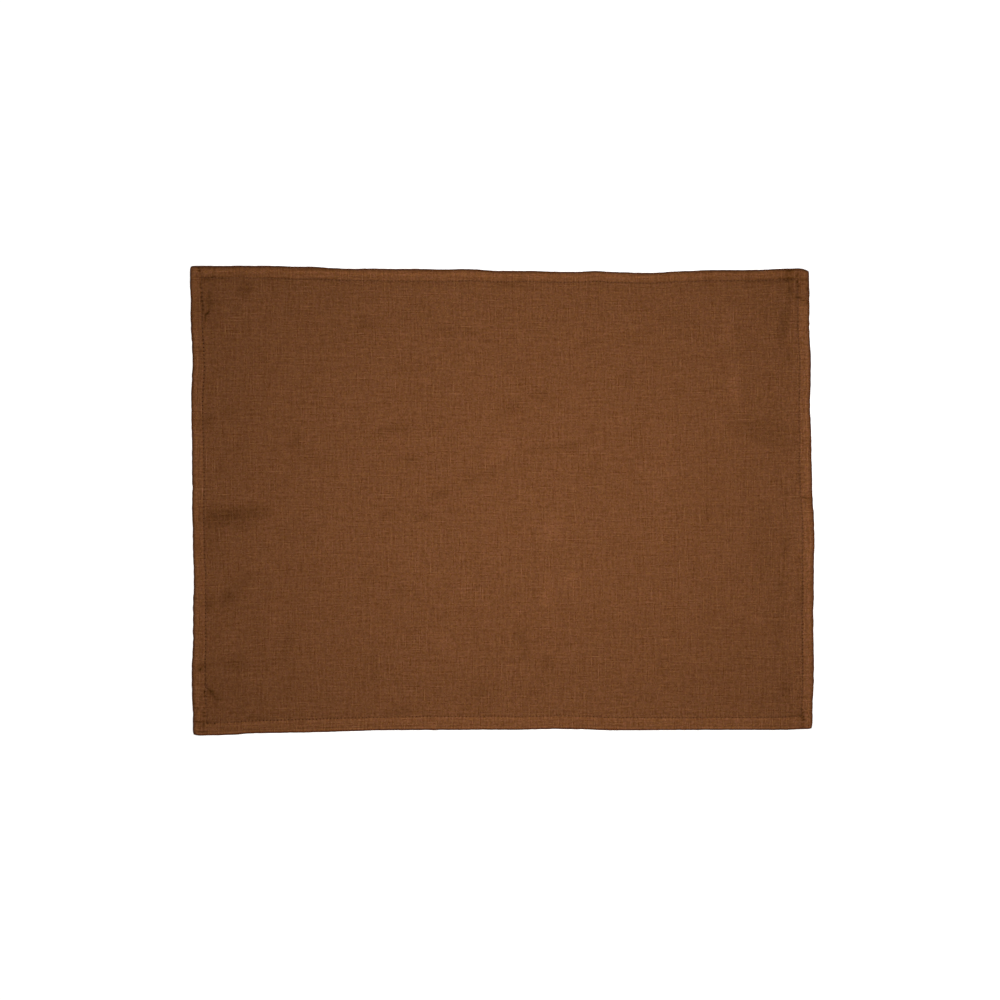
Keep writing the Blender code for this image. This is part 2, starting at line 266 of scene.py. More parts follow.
CREASES = [Crease(*row) for row in (
    # on the hem and at its seams
    (-239, -132, 90, 10, 6, -0.13, -0.08), (-239, 149, 90, 10, 6, -0.13, -0.08),
    (-232, -129, 0, 9, 5.4, -0.35, -0.25), (-230, 152, 68, 20, 8.5, -0.32, -0.12),
    (-229, 62, 20, 12, 8.5, -0.27, -0.16), (-227, -80, 60, 10, 7, -0.29, -0.17),
    (-226, -31, 90, 16, 7, -0.22, -0.13), (-226, 170, 0, 11, 5.4, -0.17, -0.12),
    (-225, -149, -45, 11, 6.5, -0.20, -0.08), (-199, 164, 0, 9, 8.5, -0.36, -0.21),
    (-186, -168, 0, 14, 4.7, -0.17, -0.14), (-145, 180, 0, 14, 5, -0.13, -0.10),
    (-78, -163, 2, 22, 6.2, -0.21, -0.13), (4, 167, 0, 16, 3.4, -0.25, -0.13),
    (182, 177, 0, 14, 5, -0.12, -0.09), (184, -175, 0, 30, 5, 0.10, 0.08),
    (198, 170, 1, 28, 3.9, -0.12, -0.12), (221, 176, 90, 9, 6, -0.24, -0.20),
    (225, 169, 90, 16, 8.5, -0.25, -0.10), (231, -75, 90, 16, 5.4, -0.21, -0.15),
    (231, 24, 90, 29, 3.9, -0.10, -0.10), (232, 135, 90, 14, 5, 0.10, 0.08),
    (231.5, -165, 90, 9, 3, -0.15, -0.10), (235, 163, 100, 13, 6, -0.24, -0.22),
    (238, -162, 90, 9, 5, -0.10, -0.08),
    # at the corners, where the turned-in cloth is thick
    (-227, 156, 88, 13, 3.6, -0.12, -0.08), (-228, 144, 40, 6, 3.2, -0.15, -0.12),
    (-233, 146, -60, 6, 3, -0.10, -0.05), (-226, -148, -49, 9, 3.6, -0.20, -0.11),
    (-219, -152, 0, 8, 6, -0.12, -0.03), (-230, -171.8, -2, 10, 1.8, -0.06, -0.22),
    (221, 170.7, 2, 10, 3.2, -0.15, -0.20), (222.7, 160, 92, 13, 3.6, -0.14, -0.22),
    (228.9, 167, 80, 6, 2.5, -0.12, -0.12), (231, 157, -25, 7.5, 3.2, -0.15, -0.18),
    (228.9, 179, 90, 5, 2.5, -0.08, -0.06), (234, 163, 100, 6, 3, 0.10, 0.14),
    # the left part, among them the deep trough in from the hem
    (-232, 113, 90, 9, 5, -0.10, -0.14), (-201, -19.5, 5, 16, 6, -0.12, -0.14),
    (-209, -50, 30, 11, 6, 0.10, 0.11), (-153, -44, 0, 12, 8, 0.10, 0.10),
    (-192, -178, 0, 10, 4.5, -0.06, -0.11), (-198, -73, 30, 9, 6, -0.10, -0.10),
    (-239, 178, 0, 6, 5, 0, 0.11), (-238, -176, 0, 6, 6, 0, 0.11), (-134, 58.5, 0, 9, 6, 0.10, 0.10),
    (-220, -13, 5, 23, 11.6, -0.45, -0.29), (-212, -108, 90, 17, 10.8, 0.12, 0.07),
    (-212, -75, 30, 11, 8.5, -0.42, -0.24), (-211, 68, 20, 9, 7, -0.22, -0.13),
    (-206, -127, 0, 16, 7.8, -0.33, -0.19), (-201, -62, 30, 19, 7.8, -0.17, -0.10),
    (-197, -10, 5, 26, 9.3, -0.44, -0.26), (-178, -92, 90, 19, 7.8, 0.24, 0.14),
    (-165, -108, 80, 26, 5.4, -0.12, -0.09), (-165, 146, 90, 9, 5.4, -0.19, -0.13),
    (-160, 47, 100, 14, 5.4, -0.18, -0.13), (-144, 33, -12, 19, 5.4, -0.14, -0.10),
    # the middle, with the long diagonal
    (-106, 138, 90, 9, 7, -0.25, -0.14), (-102, -58, 20, 12, 9.3, -0.16, -0.10),
    (-99, -127, 95, 29, 5.4, -0.14, -0.10), (-89, -10, 28, 20, 4.7, -0.14, -0.11),
    (-81, 56, 6, 26, 6.2, -0.22, -0.14), (-80, -72, 0, 9, 5.4, -0.19, -0.14),
    (-70, 32, -3, 17, 4.7, -0.16, -0.13), (-62, -13, 0, 11, 4.7, -0.23, -0.19),
    (-50, 4, 25, 13, 7, -0.31, -0.18), (-40, -115, -35, 28, 7.8, 0.17, 0.10),
    (-35, 131, -2, 33, 5.4, -0.16, -0.11), (-30, -68, 90, 14, 5.4, 0.16, 0.12),
    (-16, -148, 0, 17, 12.4, -0.13, -0.08), (-16, 19, 22, 26, 5.4, -0.19, -0.13),
    (0, 42, 45, 22, 10.8, 0.19, 0.11), (4, 71, 25, 19, 6.2, -0.19, -0.12),
    (15, -106, -60, 16, 7.8, -0.26, -0.15), (32, 40, 5, 21, 4.7, -0.16, -0.13),
    (32, 80, 0, 16, 7, -0.17, -0.10), (35, -126, -50, 11, 6.2, -0.25, -0.15),
    (35, -71, 90, 16, 8.5, 0.29, 0.17), (38, -23, 90, 16, 12.4, 0.24, 0.14),
    (53, -62, 10, 13, 10.1, 0.21, 0.12), (53, 43, 5, 15, 4.7, -0.24, -0.19),
    (68, 53, 90, 14, 5.4, -0.15, -0.11), (72, 14, 90, 23, 4.7, -0.11, -0.09),
    (98, 95, 88, 23, 6.2, -0.13, -0.08), (123, 24, 90, 46, 23.2, 0.07, 0.04),
    (-35, 5, 20, 10, 6, -0.10, -0.10), (18, -120, 80, 10, 6, -0.12, -0.12),
    (70, 116, 90, 10, 6, -0.10, -0.10), (-25, -175.5, 0, 14, 4.5, 0.06, 0.10),
    (17, -12, 0, 9, 6, -0.10, -0.10), (29, 29, 90, 8, 5, -0.10, -0.10),
    (-62, -54, 0, 9, 6, 0.10, 0.10), (18, -100, 90, 9, 6, -0.10, -0.09),
    # the right part
    (120, -33, 80, 12, 7, 0.12, 0.12), (188, -68, 60, 10, 7, 0.10, 0.10),
    (237, -174, 90, 8, 5, 0.05, 0.22), (237, 0, 90, 14, 4.5, -0.05, -0.10),
    (237, 37, 90, 12, 4.5, -0.05, -0.09),
    (159, -10, 90, 16, 5.4, -0.16, -0.11), (174, 135, 90, 20, 7, 0.24, 0.14),
    (180, 90, 95, 26, 7, 0.28, 0.17), (185, -86, -20, 9, 4.7, 0.19, 0.16),
    (198, -92, -20, 12, 4.7, 0.18, 0.15), (202, -30, 90, 40, 13.2, -0.13, -0.07),
    (204, 53, -15, 33, 17.1, -0.24, -0.14), (213, -102, 90, 22, 6.2, -0.18, -0.11),
    (216, -66, 90, 12, 5.4, -0.23, -0.16), (219, -37, 90, 13, 4.7, -0.21, -0.17),
    (219, 138, 81, 26, 6.2, -0.35, -0.21), (221, -145, 0, 7, 6.2, -0.27, -0.17),
    (222, 112, 90, 9, 6.2, -0.25, -0.16),
)]

# Sharp marks of painted shade where the corners were turned in and sewn over: the shade in folds,
# along thread and in needle holes. The same as a crease, without a height; they are finer than
# the mesh, so the linen's colour carries them.

Mark = namedtuple("Mark", "x y turn half_length half_width tone")

SHADE_MARKS = [Mark(*row) for row in (
    # at the top right
    (221.9, 171.9, 8, 5.9, 1.7, -0.5), (232.7, 170.7, 0, 5.2, 0.7, -0.48),
    (228.5, 169.3, 90, 2, 1.4, -0.66), (229.4, 166.2, -10, 2.9, 1.1, -0.55),
    (229.2, 162.9, 90, 3.9, 1.3, -0.44), (228.4, 174.7, 70, 2.8, 1.1, -0.53),
    (228.3, 157.3, 0, 2.9, 1.3, -0.62), (230.8, 156.8, 0, 2.3, 1.4, -0.4),
    (232.2, 155, 0, 3.4, 0.7, -0.62), (223, 163.8, 0, 2.5, 2.2, -0.35),
    (236.1, 164.2, 90, 2.2, 1.4, -0.48), (222.3, 177.8, 0, 4.4, 1.5, -0.53),
    (232.3, 167.6, 0, 1.4, 1, -0.34), (236.2, 153.2, 60, 2.2, 1.4, -0.44),
    # at the top left
    (-234.1, 177.9, 0, 1.8, 1.3, -0.85), (-234.7, 180, 0, 1.3, 1.1, -0.62),
    (-236.5, 173.7, 0, 2.9, 0.8, -0.44), (-231.9, 172.4, -5, 5.2, 1.1, -0.35),
    (-224.7, 173.1, 13, 5.5, 1.1, -0.54), (-216.7, 172.4, 0, 3.4, 1.2, -0.48),
    (-233.6, 167.6, 90, 3.3, 1.1, -0.66), (-232.9, 164.5, -20, 1.7, 1.1, -0.62),
    (-232.7, 160.6, 90, 2, 1.6, -0.66), (-232.6, 157.2, 90, 1.8, 1.4, -0.95),
    (-232.3, 154.1, 0, 1.7, 1.6, -0.95), (-231.9, 150.9, 0, 1.7, 1.4, -0.88),
    (-231.7, 147.8, 0, 1.8, 1.1, -0.75), (-232, 144.5, 0, 1.8, 1, -0.6),
    (-232, 141.3, 90, 2.2, 1.1, -0.48), (-228, 145.1, 48, 3.7, 1.2, -0.79),
    (-229.6, 140.8, 90, 3.9, 1.1, -0.53), (-225.4, 151.7, 90, 6.5, 1.5, -0.26),
    (-226.8, 159.4, 90, 3.9, 1.3, -0.34), (-227.6, 153.2, 90, 2.2, 1, -0.3),
    (-239.9, 156.7, 90, 1.7, 1.1, -0.66),
    # at the lower left
    (-227.5, -145.9, -38, 3.9, 1, -0.42), (-224.7, -147.3, -10, 3.2, 1.3, -0.38),
    (-224.5, -149, -30, 3.4, 2, -0.4), (-222.7, -152.1, -60, 2.4, 1.6, -0.44),
    (-219.7, -153.9, 0, 4.4, 0.7, -0.48), (-229.9, -139.6, 0, 1.8, 1.1, -0.6),
    (-229.9, -142.4, 0, 1.6, 1.1, -0.55), (-230.2, -148, 90, 2.8, 1.3, -0.92),
    (-229.9, -151.4, 0, 1.8, 1.3, -0.7), (-229.7, -154.6, 0, 1.7, 1.1, -0.66),
    (-229.9, -157.1, 0, 1.4, 1, -0.44), (-230.3, -160.9, 90, 1.4, 1.4, -0.48),
    (-230.8, -164.1, 0, 2, 1.1, -0.75), (-230.4, -166.7, 0, 2, 1.3, -0.75),
    (-230.3, -169.4, 0, 1.4, 0.8, -0.44), (-230.6, -173.2, 90, 3.3, 0.9, -0.66),
    (-234.6, -171.3, -9, 5.5, 0.7, -0.66), (-227.8, -172.2, 0, 1.3, 1.3, -0.79),
    (-225.1, -172.3, 0, 1.4, 1.1, -0.7), (-222.3, -172.4, 90, 1.6, 1.3, -0.95),
    (-231.1, -178.9, 0, 5.8, 0.9, -0.53), (-235.4, -160.7, 90, 1.6, 1.1, -0.79),
    (-237.7, -160.2, 0, 1.7, 1.1, -0.57), (-237.8, -157.1, 0, 1.1, 1.1, -0.57),
    (-235.4, -141.7, 0, 1.1, 1, -0.57),
    # further up the left hem, and halfway down the right one, where it is pinched
    (-232.6, -129.5, 50, 3.9, 0.9, -0.5), (-233.8, -130.8, 0, 1.4, 1.2, -0.7),
    (234.7, 2.1, -14, 5, 0.9, -0.58), (239.8, 5, 90, 8, 1, -0.4), (234.7, -1.8, 90, 2.4, 0.9, -0.4),
    # at the lower right
    (232.3, -152, 0, 2, 1.1, -0.66), (232.2, -158.6, 0, 1.4, 1.3, -0.57),
    (232, -161.7, 0, 1.7, 1.3, -0.92), (233.3, -163.8, 25, 2, 0.9, -0.75),
    (232, -165.1, 60, 1.7, 1, -0.72), (233.4, -167.1, 0, 1.3, 1.2, -0.78),
    (232.1, -168.2, 0, 1.7, 0.8, -0.6), (233.3, -169.6, 20, 2, 1, -0.84),
    (232.6, -172.5, 0, 2.3, 1, -0.44), (233.1, -175.1, 0, 3.9, 0.7, -0.57),
    (237.4, -167.2, 90, 1.4, 1, -0.57), (235.3, -161.6, 0, 1.3, 0.8, -0.44),
    (238.2, -164.1, 90, 1.1, 1, -0.44), (237.4, -174.2, 90, 1.6, 1, -0.53),
    (224.6, -166.6, 0, 11, 0.7, -0.44), (225.1, -157.9, 0, 1.3, 0.8, -0.48),
    (225.1, -161, 0, 1.4, 0.8, -0.44), (217.9, -150.8, 0, 1.4, 1.1, -0.57),
)]

# Lightness of the hem's three layers. place: from the outline, 0, to the seam, 1, and on into the
# field; tone: lightness there. It is painted shade at the fold of the outline, paler over the band,
# and a painted highlight just past the seam. The lower side's hem is painted paler at its fold,
# where the light falls on it more.

HEM_SPAN = 1.6
HEM_TONES = (
    (0.00, 0.80), (0.13, 0.85), (0.22, 1.12), (0.32, 1.26), (0.40, 1.34), (0.52, 1.25),
    (0.72, 1.15), (0.88, 1.13), (1.00, 1.05), (1.10, 1.06), (1.22, 1.04), (1.60, 1.00),
)
LOWER_HEM_TONES = (
    (0.00, 0.95), (0.11, 1.08), (0.18, 1.38), (0.28, 1.05), (0.32, 1.03), (0.42, 1.14),
    (0.60, 1.13), (0.85, 1.18), (1.00, 1.15), (1.10, 1.08), (1.25, 1.00), (1.60, 1.00),
)

TONE_SIZES = (24, 9)            # faint unevenness of the cloth's lightness
TONE_CHANGE = 0.012
CROSSING_SHADE = 0.16           # shade where a seam runs on over the crossing hem
CROSSING_REACH = 1.1
# the thin line along the stitching is painted shade in its groove
SEAM_LINE = 0.25                # strength of the thin line along the stitching
DARKEST = 0.15                  # share of the light that the deepest mark keeps

# The weave, in millimetres on the flat cloth.

YARN_PITCH = 0.9                # linen of this weight has 0.6 to 0.7; drawn coarser, to show
CROOKED = 0.9                   # how far a yarn runs out of line
YARNS_APART = 7.31              # between two yarns' places in the noise, so that they differ
YARN_DRIFT = 0.05               # so that a yarn's tone drifts over some 20 mm
SLUBS_FROM = 0.24               # a yarn that is paler than this is a thick slub
FIBRE_STRETCH = 5.0             # how much longer than thick a fibre's streak is


def linear(code):
    """An sRGB hex code as linear red, green and blue."""
    parts = [int(code[at:at + 2], 16) / 255 for at in (1, 3, 5)]
    return tuple(part / 12.92 if part <= 0.04045 else ((part + 0.055) / 1.055) ** 2.4
                 for part in parts)


class ClothSettings(bpy.types.PropertyGroup):
    """Sizes and colours of the panel."""

    width: FloatProperty(
        name="Width", description="Finished width, from fold to fold", default=480 * MM,
        min=0.2, max=0.8, unit="LENGTH", subtype="DISTANCE")
    depth: FloatProperty(
        name="Depth", description="Finished depth, from fold to fold", default=360 * MM,
        min=0.15, max=0.6, unit="LENGTH", subtype="DISTANCE")
    thickness: FloatProperty(
        name="Cloth thickness", description="Thickness of one layer of the linen",
        default=0.55 * MM, min=0.2 * MM, max=0.6 * MM, unit="LENGTH", subtype="DISTANCE")
    pale: FloatVectorProperty(
        name="Pale yarn", description="The lightest lengths of yarn", default=linear("#855736"),
        size=3, min=0, max=1, subtype="COLOR")
    deep: FloatVectorProperty(
        name="Deep yarn", description="The darkest lengths of yarn", default=linear("#5B3011"),
        size=3, min=0, max=1, subtype="COLOR")
    # the folded edge's colour is painted shade: the fold at the outline is drawn deeper than the cloth
    edge: FloatVectorProperty(
        name="Folded edge", description="Colour along the fold at the outline",
        default=linear("#602B0A"), size=3, min=0, max=1, subtype="COLOR")
    seed: IntProperty(
        name="Seed", description="Chooses the unevenness of the cloth", default=7, min=0)


class ThreadSettings(bpy.types.PropertyGroup):
    """Sizes and colour of the sewing thread."""

    diameter: FloatProperty(
        name="Thread diameter", description="Thickness of the sewing thread", default=0.42 * MM,
        min=0.1 * MM, max=1 * MM, unit="LENGTH", subtype="DISTANCE")
    colour: FloatVectorProperty(
        name="Thread", description="Colour of the sewing thread", default=linear("#6E4225"),
        size=3, min=0, max=1, subtype="COLOR")
    slack: FloatProperty(
        name="Slack", description="Most that a stitch turns from the seam",
        default=math.radians(5), min=0, max=math.radians(20), unit="ROTATION", subtype="ANGLE")
    seed: IntProperty(
        name="Seed", description="Chooses the unevenness of the stitches", default=3, min=0)


class StudioSettings(bpy.types.PropertyGroup):
    """The pale floor, the light and the camera above."""

    floor: FloatVectorProperty(
        name="Floor", description="Colour of the floor", default=linear("#F4F4F2"), size=3,
        min=0, max=1, subtype="COLOR")
    light_height: FloatProperty(
        name="Light height", description="Height of the soft light above the cloth", default=0.54,
        min=0.3, max=3, unit="LENGTH", subtype="DISTANCE")
    light_power: FloatProperty(
        name="Light power", description="Power of the soft light", default=3.23, min=0,
        unit="POWER", subtype="POWER")
    fill: FloatProperty(
        name="Fill", description="Even light from all round", default=0.08, min=0, max=2,
        subtype="FACTOR")
    camera_height: FloatProperty(
        name="Camera height", description="Height of the camera above the floor", default=2.1516,
        min=0.5, max=10, unit="LENGTH", subtype="DISTANCE")


# --- shape -------------------------------------------------------------------------------------


def curve_through(rows, along):
    """Smooth curve through a table of places and values, level past its two ends."""
    places, values = np.array(rows, float).T
    slopes = np.empty(len(rows))
    slopes[1:-1] = (values[2:] - values[:-2]) / (places[2:] - places[:-2])
    slopes[0] = (values[1] - values[0]) / (places[1] - places[0])
    slopes[-1] = (values[-1] - values[-2]) / (places[-1] - places[-2])
    after = np.clip(np.searchsorted(places, along), 1, len(rows) - 1)
    before = after - 1
    span = places[after] - places[before]
    t = np.clip((along - places[before]) / span, 0.0, 1.0)
    return (
        values[before] * (2 * t**3 - 3 * t**2 + 1)
        + values[after] * (3 * t**2 - 2 * t**3)
        + slopes[before] * span * (t**3 - 2 * t**2 + t)
        + slopes[after] * span * (t**3 - t**2)
    )


def smooth(t):
    """0 to 1, level at both ends."""
    t = np.clip(t, 0.0, 1.0)
    return t * t * (3 - 2 * t)


def bell(past, reach):
    """1 on a line, and less with the distance from it, down to about a third at reach."""
    return np.exp(-((past / reach) ** 2))


def uneven(x, y, size, seed):
    """Smooth random unevenness from -1 to 1, with humps about size apart."""
    values = np.random.default_rng(seed).uniform(-1, 1, (CHANCES, CHANCES))
    column, line = x / size + CHANCE_MIDDLE[0], y / size + CHANCE_MIDDLE[1]
    i, j = np.floor(column).astype(int), np.floor(line).astype(int)
    u, v = smooth(column - i), smooth(line - j)
    i, j = i % (CHANCES - 1), j % (CHANCES - 1)
    low = values[i, j] * (1 - u) + values[i + 1, j] * u
    high = values[i, j + 1] * (1 - u) + values[i + 1, j + 1] * u
    return low * (1 - v) + high * v


def hump(x, y, row):
    """How strongly a wave or crease acts at a place, from 0 to 1."""
    turn = math.radians(row.turn)
    along = ((x - row.x) * math.cos(turn) + (y - row.y) * math.sin(turn)) / row.half_length
    across = ((y - row.y) * math.cos(turn) - (x - row.x) * math.sin(turn)) / row.half_width
    return np.clip(1.0 - along**2 - across**2, 0.0, None) ** 2


class Panel:
    """The panel in nominal places a, b, from its middle, and where they lie on the real one."""

    def __init__(self, settings):
        self.width = settings.width / MM
        self.depth = settings.depth / MM
        self.thickness = settings.thickness / MM
        self.seed = settings.seed
        share = np.linspace(-0.5, 0.5, OUTLINE_POINTS)
        outline = [self.place(side, share * self.length(side), 0 * share) for side in SIDES]
        xs, ys = np.concatenate([self.wander(a, b) for a, b in outline], axis=1)
        self.middle = (xs.min() + xs.max()) / 2, (ys.min() + ys.max()) / 2

    def wander(self, a, b):
        """A nominal place on the panel, whose edges wander and whose corners are drawn in."""
        across, up = a / self.width + 0.5, b / self.depth + 0.5
        x = a - curve_through(LEFT_EDGE, b) * (1 - across) + curve_through(RIGHT_EDGE, b) * across
        y = b - curve_through(BOTTOM_EDGE, a) * (1 - up) + curve_through(TOP_EDGE, a) * up
        for corner in CORNERS:
            away = np.hypot(a - corner.side_x * self.width / 2, b - corner.side_y * self.depth / 2)
            nearness = np.clip(1 - away / corner.reach, 0, None) ** 2
            x = x - corner.side_x * corner.pull_x * nearness
            y = y - corner.side_y * corner.pull_y * nearness
        return x, y

    def nominal(self, x, y):
        """The nominal place that lies at a real one, found in a few steps."""
        a, b = x, y
        for _ in range(4):
            over_x, over_y = self.wander(a, b)
            a, b = a + x - over_x, b + y - over_y
        return a, b

    def length(self, side):
        """Length of a side."""
        return self.width if side.level == "y" else self.depth

    def along_and_in(self, side, a, b):
        """Place along a side, and distance in from it."""
        if side.level == "y":
            return a, self.depth / 2 + side.inward * b
        return b, self.width / 2 + side.inward * a

    def place(self, side, along, inwards):
        """The nominal place at a distance in from a side."""
        if side.level == "y":
            return along, side.inward * (inwards - self.depth / 2)
        return side.inward * (inwards - self.width / 2), along

    def crossing_seams(self, side):
        """Distances from the outline of the seams that cross a side at its low and high corner."""
        neighbours = (LEFT, RIGHT) if side.level == "y" else (BOTTOM, TOP)
        corner = -1 if side.inward < 0 else 0
        return [neighbour.seam[corner][1] for neighbour in neighbours]

    def seam_ends(self, side):
        """Where a side's seam starts and ends along the side."""
        half = self.length(side) / 2
        low, high = self.crossing_seams(side)
        low = low if side.low_end is None else side.low_end
        high = high if side.high_end is None else side.high_end
        return low - half, half - high

    def stitch_number(self, side, along):
        """Stitches from the low end of a side's seam, whose feed was a little uneven."""
        low, _ = self.seam_ends(side)
        drift = uneven(along, SIDE_APART * SIDES.index(side), FEED_DRIFT.size, self.seed + 7)
        return (along - low) / side.pitch + FEED_DRIFT.height * drift

    def heights(self, a, b):
        """Middles of the upper and the lower layer, and how free of the hems the place is."""
        x, y = self.wander(a, b)
        free = np.ones_like(a)
        in_hem = {"x": np.zeros_like(a), "y": np.zeros_like(a)}
        drawn = np.zeros_like(a)
        for side in SIDES:
            along, inwards = self.along_and_in(side, a, b)
            past = inwards - curve_through(side.seam, along)
            settled = smooth((past - SETTLES_FROM) / SETTLING)
            free = free * settled
            in_hem[side.level] = np.maximum(in_hem[side.level], 1 - settled)
            low, high = self.seam_ends(side)
            sewn = np.minimum(
                smooth((along - low) / SEAM_FADE + 0.5), smooth((high - along) / SEAM_FADE + 0.5))
            pull = bell(past, SEAM_WIDTH) + WIDE_PULL * bell(past, WIDE_PULL_REACH)
            ripple = np.cos(math.tau * self.stitch_number(side, along))
            pucker = PUCKER * ripple * np.exp(-np.abs(past) / PUCKER_REACH)
            drawn = np.maximum(drawn, sewn * (SEAM_DEPTH * pull)) + sewn * pucker
        lift = sum(wave.height * hump(x, y, wave) for wave in WAVES)
        folds = sum(crease.height * hump(x, y, crease) for crease in CREASES)
        loose = SLACK + folds
        for number, fine in enumerate(FINE_WAVES):
            loose = loose + fine.height * uneven(x, y, fine.size, self.seed + number)
        loose = (loose + np.sqrt(loose**2 + TOUCHING)) / 2
        band = HEM_FOLLOWS * np.clip(folds, 0, None)
        band = band + HEM_WAVE.height * (1 + uneven(x, y, HEM_WAVE.size, self.seed + 3))
        lift = lift + free * loose + (1 - free) * band
        layers = LAYER_RISE + LAYER_WAVE.height * uneven(x, y, LAYER_WAVE.size, self.seed + 4)
        crossed = smooth(2 * in_hem["y"] - 1) * smooth(2 * in_hem["x"] - 1)
        rise = layers * (1 - free) + CORNER_RISE * crossed
        dents = HEM_DENTS * np.clip(folds, None, 0) * (1 - free)
        return LOWER_MIDDLE + lift + rise - drawn + dents, LOWER_MIDDLE + lift, free

    def tones(self, a, b):
        """Lightness of the cloth by place: painted shade and light along the creases, and painted
        shade where a seam runs on.
        """
        x, y = self.wander(a, b)
        tone = np.ones_like(a)
        nearest = np.min([self.along_and_in(side, a, b)[1] for side in SIDES], axis=0)
        for side in SIDES:
            along, inwards = self.along_and_in(side, a, b)
            low, high = self.seam_ends(side)
            crossing = (nearest < inwards - 0.01) & (along > low - 1) & (along < high + 1)
            past = inwards - curve_through(side.seam, along)
            tone = np.where(crossing, tone * (1 - CROSSING_SHADE * bell(past, CROSSING_REACH)), tone)
        # each crease paints shade along its trough and light along its ridge
        for crease in CREASES:
            tone = tone * (1 + crease.tone * hump(x, y, crease))
        for number, size in enumerate(TONE_SIZES):
            tone = tone * (1 + TONE_CHANGE * uneven(x, y, size, self.seed + 5 + number))
        return tone

    def looks(self, a, b):
        """Lightness with its painted shade and light, how far in by the hem's measure, whether on
        the lower side, and how dark the painted shade of the needle holes is.
        """
        places = np.full_like(a, FAR_INSIDE)
        shade, lower, holes = np.zeros_like(a), np.zeros_like(a), np.zeros_like(a)
        for side in SIDES:
            along, inwards = self.along_and_in(side, a, b)
            seam = curve_through(side.seam, along)
            here = np.where(inwards < seam, inwards / seam, 1 + (inwards - seam) / MEAN_HEM)
            nearer = here < places
            # the painted shade of the needle holes, and the painted shade and light across the hem,
            # which differ by side as the light falls
            holes = np.where(nearer, curve_through(side.holes, along), holes)
            shade = np.where(nearer, curve_through(side.shade, here), shade)
            lower = np.where(nearer, float(side is BOTTOM), lower)
            places = np.minimum(places, here)
        return self.tones(a, b) * (1 + shade), places, lower, holes


def hem_cells(side):
    """Columns of the hem along a side, two for each cell of the field."""
    return 2 * (LONG_CELLS if side.level == "y" else SHORT_CELLS)


def hem_columns(panel, side, line):
    """One mesh line of the hem along one side: nominal places, flat places and sewing places."""
    half = panel.length(side) / 2
    part = np.linspace(0.0, 1.0, hem_cells(side) + 1)[::side.turn]
    seam = curve_through(side.seam, (2 * part - 1) * half)
    bend = math.radians(line.bend)

    def inset(seam_distance):
        """Distance from the outline, where the seam's is given."""
        if line.layer == "rim":
            return 0 * seam_distance + RIM_INSET + RIM_RADIUS * (1 - math.sin(bend))
        past = FOLD_RADIUS * math.sin(bend) if line.layer == "fold" else 0.0
        return line.share * seam_distance + line.beyond + past

    inwards = inset(seam)
    low, high = (half - inset(distance) for distance in panel.crossing_seams(side))
    along = (high + low) * part - low
    a, b = panel.place(side, along, inwards)

    # the same place on the flat cloth, which goes on past the folds
    rim_start = RIM_INSET + RIM_RADIUS
    rim_end = rim_start - math.pi * RIM_RADIUS
    fold_start = rim_end - (seam + FOLD_BEYOND - rim_start)
    if line.layer == "rim":
        flat = 0 * seam + rim_start - RIM_RADIUS * (math.pi - bend)
    elif line.layer == "lower":
        flat = rim_end - (inwards - rim_start)
    elif line.layer == "fold":
        flat = fold_start - FOLD_RADIUS * bend
    elif line.layer == "tucked":
        flat = fold_start - FOLD_RADIUS * math.pi - (seam + FOLD_BEYOND - inwards)
    else:
        flat = inwards
    flat_places = np.stack(panel.place(side, along, flat), 1)
    stitches = panel.stitch_number(side, along)
    return a, b, flat_places, np.stack([stitches, inwards - seam], 1)


def edge_bumps(panel, corners):
    """Fine bumps of the fold at the outline, from the pull of the stitches and of thick yarns."""
    rng = np.random.default_rng(panel.seed + 9)
    bumps = []
    for side, start, end in zip(SIDES, corners, corners[1:]):
        steps = np.arange(end - start)
        rough = np.convolve(rng.normal(0, side.bumps, len(steps)), (0.3, 0.6, 0.3), "same") * 1.2
        bumps.append(rough * np.clip(np.minimum(steps, steps[::-1]) / BUMP_FADE, 0, 1))
    return np.concatenate(bumps)


def line_height(panel, line, a, b, corners):
    """Height of one mesh line of the hem, by its layer."""
    upper, lower, _ = panel.heights(a, b)
    bend = math.radians(line.bend)
    if line.layer == "rim":
        return lower + (upper - lower) * (1 - math.cos(bend)) / 2
    if line.layer == "fold":
        return lower + FOLD_RADIUS * (1 - math.cos(bend))
    if line.layer == "tucked":
        return lower + 2 * FOLD_RADIUS
    if line.layer == "lower":
        insets = [panel.along_and_in(side, a, b) for side in SIDES]
        past = [inwards - curve_through(side.seam, along)
                for side, (along, inwards) in zip(SIDES, insets)]
        drawn_up = lower + SEAM_UNDER * bell(np.min(np.abs(past), axis=0), 0.7)
        drawn_up[corners[:-1]] += MITRE_RISE
        return drawn_up
    return upper


def field_grid(panel):
    """Nominal places of the field: a grid between the lines that bound it."""
    line = Line(1, FIELD_BEYOND, "upper", 0)
    bottom, right, top, left = [
        [places[::2 * side.turn] for places in hem_columns(panel, side, line)[:2]]
        for side in SIDES]
    u = np.linspace(0, 1, LONG_CELLS + 1)
    v = np.linspace(0, 1, SHORT_CELLS + 1)[:, None]
    a = left[0][:, None] * (1 - u) + right[0][:, None] * u
    b = bottom[1] * (1 - v) + top[1] * v
    return a.ravel(), b.ravel()


